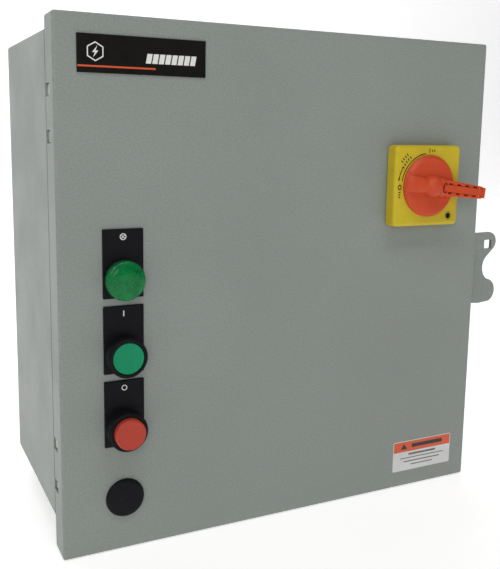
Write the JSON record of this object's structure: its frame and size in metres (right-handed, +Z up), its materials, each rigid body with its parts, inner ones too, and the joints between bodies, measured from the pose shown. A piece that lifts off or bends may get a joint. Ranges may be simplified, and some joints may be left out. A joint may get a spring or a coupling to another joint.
{
  "type": "magnetic motor starter",
  "caption": "Wall-mounted sheet-steel motor starter: hinged door with pilot light, start and stop buttons and a lockable rotary handle over a breaker, contactor and overload relay.",
  "frame": {"origin": "centre of the rear mounting face, midway between the wall bolts", "axes": "+X to the right of the door, -Y out of the door towards the user, +Z up"},
  "size_m": [0.4194, 0.2018, 0.39],
  "materials": {
    "grey_paint": "satin powder coat",
    "panel_paint": "gloss white enamel",
    "zinc_steel": "zinc plated",
    "bright_steel": "bright drawn",
    "lug_metal": "tin plated",
    "core_steel": "laminated, oiled",
    "copper_strip": "copper, silver faced",
    "coil_tape": "varnished tape",
    "black_plastic": "fine matte",
    "device_plastic": "fine matte",
    "cover_plastic": "fine matte",
    "dial_plastic": "matte",
    "reset_plastic": "gloss",
    "terminal_plastic": "matte",
    "green_lens": "clear moulded, prismatic inside",
    "green_plastic": "gloss",
    "red_plastic": "gloss",
    "handle_red": "satin moulded",
    "yellow_plastic": "satin moulded",
    "nameplate_film": "gloss film",
    "label_film": "gloss film",
    "gasket_rubber": "soft",
    "wire_sleeve": "extruded",
    "fuse_body": "glazed"
  },
  "bodies": {
    "enclosure": {"enclosure_box": "grey_paint", "box_hasp": "grey_paint", "box_hinge_leaves": "zinc_steel", "hinge_pins": "bright_steel", "ground_lug": "lug_metal", "panel_fasteners": "zinc_steel", "mounting_panel": "panel_paint", "din_rails": "zinc_steel", "breaker_base": "device_plastic", "breaker_cover": "cover_plastic", "contactor_base": "device_plastic", "contactor_cover": "cover_plastic", "fixed_contacts": "copper_strip", "magnet_core": "core_steel", "contactor_coil": "coil_tape", "return_springs": "bright_steel", "overload_body": "device_plastic", "transformer_core": "core_steel", "transformer_winding": "coil_tape", "transformer_terminals": "cover_plastic", "fuse_block": "device_plastic", "fuses": "fuse_body", "terminal_blocks": "terminal_plastic", "terminal_screws": "zinc_steel", "power_wires": "wire_sleeve", "control_wires": "wire_sleeve", "door_loom": "wire_sleeve"},
    "door": {"door_panel": "grey_paint", "door_hinge_leaves": "zinc_steel", "door_hasp": "grey_paint", "nameplate": "nameplate_film", "warning_label": "label_film", "legend_plates": "black_plastic", "run_bezel": "black_plastic", "run_lens": "green_lens", "run_lamp_block": "device_plastic", "start_bezel": "black_plastic", "start_spring": "bright_steel", "stop_bezel": "black_plastic", "stop_spring": "bright_steel", "contact_blocks": "device_plastic", "device_nuts": "black_plastic", "hole_plug": "black_plastic", "door_harness": "wire_sleeve", "handle_gasket": "gasket_rubber", "handle_plate": "yellow_plastic", "handle_screws": "zinc_steel"},
    "start_push": {"start_button": "green_plastic"},
    "stop_push": {"stop_button": "red_plastic"},
    "handle": {"handle_knob": "handle_red", "handle_coupling": "device_plastic"},
    "padlock_tongue": {"handle_slide": "handle_red"},
    "breaker_drive": {"breaker_knob": "black_plastic", "extension_shaft": "bright_steel"},
    "breaker_setting": {"breaker_dial": "dial_plastic"},
    "armature": {"contact_carrier": "dial_plastic", "moving_contacts": "copper_strip", "armature_core": "core_steel"},
    "overload_setting": {"overload_dial": "dial_plastic"},
    "overload_reset_push": {"overload_reset": "reset_plastic"}
  },
  "joints": [
    {"name": "door_hinge", "type": "hinge", "parent": "enclosure", "child": "door", "pos_m": [-0.1829, -0.15875, 0], "axis": [0, 0, -1], "range_deg": [0, 110], "deforming": ["door_loom"]},
    {"name": "handle_turn", "type": "hinge", "parent": "door", "child": "handle", "pos_m": [0.12, -0.19, 0.068], "axis": [0, 1, 0], "range_deg": [-7, 83]},
    {"name": "breaker_turn", "type": "hinge", "parent": "enclosure", "child": "breaker_drive", "pos_m": [0.12, -0.1, 0.068], "axis": [0, 1, 0], "range_deg": [-7, 83]},
    {"name": "padlock_tongue_slide", "type": "slide", "parent": "handle", "child": "padlock_tongue", "axis": [0.9874, -0.1019, -0.1212], "range_m": [0, 0.006]},
    {"name": "start_press", "type": "slide", "parent": "door", "child": "start_push", "axis": [0, 1, 0], "range_m": [0, 0.003], "stiffness_N_per_m": 400, "springref_m": -0.004, "deforming": ["start_spring"]},
    {"name": "stop_press", "type": "slide", "parent": "door", "child": "stop_push", "axis": [0, 1, 0], "range_m": [0, 0.0032], "stiffness_N_per_m": 400, "springref_m": -0.004, "deforming": ["stop_spring"]},
    {"name": "armature_pull", "type": "slide", "parent": "enclosure", "child": "armature", "axis": [0, 1, 0], "range_m": [0, 0.0045], "stiffness_N_per_m": 600, "springref_m": -0.004, "deforming": ["return_springs"]},
    {"name": "overload_reset_press", "type": "slide", "parent": "enclosure", "child": "overload_reset_push", "axis": [0, 1, 0], "range_m": [0, 0.003], "stiffness_N_per_m": 300, "springref_m": -0.003},
    {"name": "overload_dial_turn", "type": "hinge", "parent": "enclosure", "child": "overload_setting", "pos_m": [0.108, -0.084, -0.089], "axis": [0, 1, 0], "range_deg": [0, 270]},
    {"name": "breaker_dial_turn", "type": "hinge", "parent": "enclosure", "child": "breaker_setting", "pos_m": [0.108, -0.092, 0.046], "axis": [0, 1, 0], "range_deg": [0, 270]}
  ],
  "couplings": [
    {"joint": "breaker_turn", "follows": "handle_turn", "ratio": 1}
  ]
}
